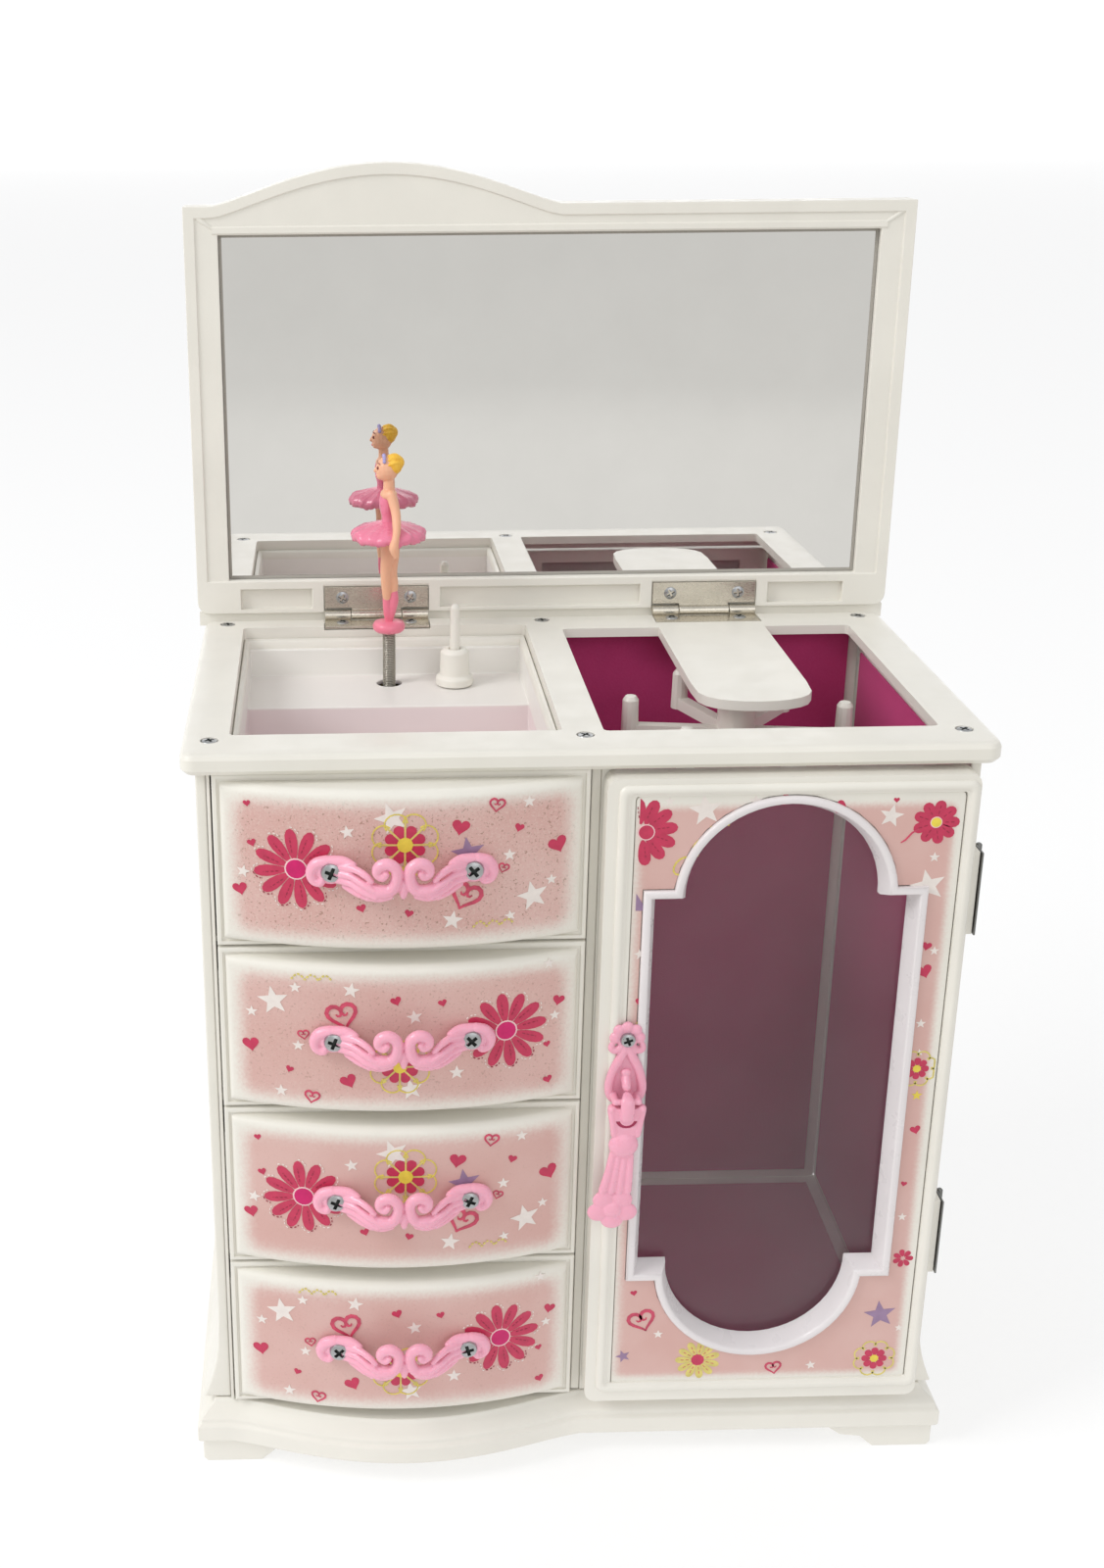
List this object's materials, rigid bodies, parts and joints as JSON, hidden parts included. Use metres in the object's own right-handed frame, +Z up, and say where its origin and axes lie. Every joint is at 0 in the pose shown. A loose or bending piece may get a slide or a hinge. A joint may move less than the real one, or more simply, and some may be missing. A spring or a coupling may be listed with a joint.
{
  "type": "ballerina jewellery box",
  "caption": "Upright musical jewellery box with bowed printed drawers, a glazed door over a necklace well, a mirror lid and a turning dancer.",
  "frame": {"origin": "middle of the whole box's footprint, lid open, at floor level", "axes": "+X to the right as seen from the front, +Y to the back, +Z up; the drawers and the door face -Y"},
  "size_m": [0.222, 0.1544, 0.3649],
  "materials": {
    "cream_plastic": "glossy injection-moulded plastic",
    "pink_plastic": "glossy pink plastic",
    "printed_panel": "satin printed sheet on moulded plastic",
    "magenta_felt": "short flocked felt",
    "hinge_nickel": "nickel-plated pressed steel",
    "screw_steel": "zinc-plated steel",
    "movement_brass": "plain brass",
    "door_glazing": "clear thin acrylic",
    "lid_mirror": "silvered mirror",
    "dancer_plastic": "painted plastic figure"
  },
  "bodies": {
    "cabinet": {"base_plinth": "cream_plastic", "left_side_panel": "cream_plastic", "right_side_panel": "cream_plastic", "back_panel": "cream_plastic", "centre_divider": "cream_plastic", "drawer_shelf_1": "cream_plastic", "drawer_shelf_2": "cream_plastic", "drawer_shelf_3": "cream_plastic", "top_deck": "cream_plastic", "music_tray": "cream_plastic", "stop_rod_guide": "cream_plastic", "fascia_handle": "pink_plastic", "top_fascia": "printed_panel", "well_liner_back": "magenta_felt", "well_liner_right": "magenta_felt", "well_liner_left": "magenta_felt", "well_liner_floor": "magenta_felt", "lid_hinge_left_deck_leaf": "hinge_nickel", "lid_hinge_right_deck_leaf": "hinge_nickel", "door_hinge_upper_cabinet_leaf": "screw_steel", "door_hinge_lower_cabinet_leaf": "screw_steel", "deck_screw_1": "screw_steel", "deck_screw_2": "screw_steel", "deck_screw_3": "screw_steel", "deck_screw_4": "screw_steel", "deck_screw_5": "screw_steel", "deck_screw_6": "screw_steel", "carousel_pivot_pin": "screw_steel", "tone_comb": "screw_steel", "movement_bedplate": "movement_brass"},
    "lid": {"lid_frame": "cream_plastic", "lid_mirror": "lid_mirror", "lid_hinge_left_lid_leaf": "hinge_nickel", "lid_hinge_right_lid_leaf": "hinge_nickel"},
    "door": {"door_frame": "cream_plastic", "door_print_sheet": "printed_panel", "door_window_pane": "door_glazing", "door_hinge_upper_door_leaf": "screw_steel", "door_hinge_lower_door_leaf": "screw_steel", "door_handle_plate": "pink_plastic"},
    "tassel": {"door_handle_tassel": "pink_plastic"},
    "drawer_2": {"drawer_box_2": "cream_plastic", "drawer_front_2": "printed_panel", "drawer_handle_2": "pink_plastic"},
    "drawer_3": {"drawer_box_3": "cream_plastic", "drawer_front_3": "printed_panel", "drawer_handle_3": "pink_plastic"},
    "drawer_4": {"drawer_box_4": "cream_plastic", "drawer_front_4": "printed_panel", "drawer_handle_4": "pink_plastic"},
    "carousel": {"necklace_carousel": "cream_plastic"},
    "mainspring": {"mainspring_drum": "movement_brass", "winding_key": "screw_steel"},
    "cylinder": {"pin_cylinder": "movement_brass"},
    "governor_fan": {"governor": "movement_brass"},
    "spindle_shaft": {"spindle": "screw_steel"},
    "spring_bend": {"dancer_spring": "screw_steel"},
    "dancer_figure": {"dancer": "dancer_plastic"},
    "stop_pin": {"stop_rod": "cream_plastic"}
  },
  "joints": [
    {"name": "lid_hinge", "type": "hinge", "parent": "cabinet", "child": "lid", "pos_m": [0, 0.06349, 0.2275], "axis": [1, 0, 0], "range_deg": [0, 90.9]},
    {"name": "dancer_fold", "type": "hinge", "parent": "cabinet", "child": "spring_bend", "pos_m": [-0.0497, 0.04249, 0.22], "axis": [1, 0, 0], "range_deg": [0, 97.2], "deforming": ["dancer_spring"]},
    {"name": "dancer_spin", "type": "hinge", "parent": "spring_bend", "child": "dancer_figure", "pos_m": [-0.0497, 0.04249, 0.23], "axis": [0, 0, 1], "continuous": true},
    {"name": "spindle_turn", "type": "hinge", "parent": "cabinet", "child": "spindle_shaft", "pos_m": [-0.0497, 0.04249, 0.2], "axis": [0, 0, 1], "continuous": true},
    {"name": "mainspring_turn", "type": "hinge", "parent": "cabinet", "child": "mainspring", "pos_m": [-0.072, 0.04549, 0.189], "axis": [0, 1, 0], "continuous": true},
    {"name": "cylinder_turn", "type": "hinge", "parent": "cabinet", "child": "cylinder", "pos_m": [-0.0475, 0.04249, 0.189], "axis": [1, 0, 0], "continuous": true},
    {"name": "governor_turn", "type": "hinge", "parent": "cabinet", "child": "governor_fan", "pos_m": [-0.031, 0.04249, 0.186], "axis": [0, 0, 1], "continuous": true},
    {"name": "stop_rod_slide", "type": "slide", "parent": "cabinet", "child": "stop_pin", "axis": [0, 0, -1], "range_m": [0, 0.0072], "stiffness_N_per_m": 10},
    {"name": "door_hinge", "type": "hinge", "parent": "cabinet", "child": "door", "pos_m": [0.1053, -0.05581, 0.13], "axis": [0, 0, 1], "range_deg": [0, 110]},
    {"name": "tassel_swing", "type": "hinge", "parent": "door", "child": "tassel", "pos_m": [0.012, -0.06931, 0.1265], "axis": [-1, 0, 0], "range_deg": [0, 80]},
    {"name": "drawer_2_slide", "type": "slide", "parent": "cabinet", "child": "drawer_2", "axis": [0, -1, 0], "range_m": [0, 0.085]},
    {"name": "drawer_3_slide", "type": "slide", "parent": "cabinet", "child": "drawer_3", "axis": [0, -1, 0], "range_m": [0, 0.085]},
    {"name": "drawer_4_slide", "type": "slide", "parent": "cabinet", "child": "drawer_4", "axis": [0, -1, 0], "range_m": [0, 0.085]},
    {"name": "carousel_turn", "type": "hinge", "parent": "cabinet", "child": "carousel", "pos_m": [0.0513, 0.00499, 0.21], "axis": [0, 0, 1], "continuous": true}
  ],
  "couplings": [
    {"joint": "dancer_fold", "follows": "lid_hinge", "ratio": 1.0671},
    {"joint": "stop_rod_slide", "follows": "lid_hinge", "m_per_rad": 0.00441},
    {"joint": "cylinder_turn", "follows": "mainspring_turn", "ratio": 4},
    {"joint": "spindle_turn", "follows": "mainspring_turn", "ratio": 4},
    {"joint": "dancer_spin", "follows": "mainspring_turn", "ratio": 4},
    {"joint": "governor_turn", "follows": "mainspring_turn", "ratio": 12}
  ]
}
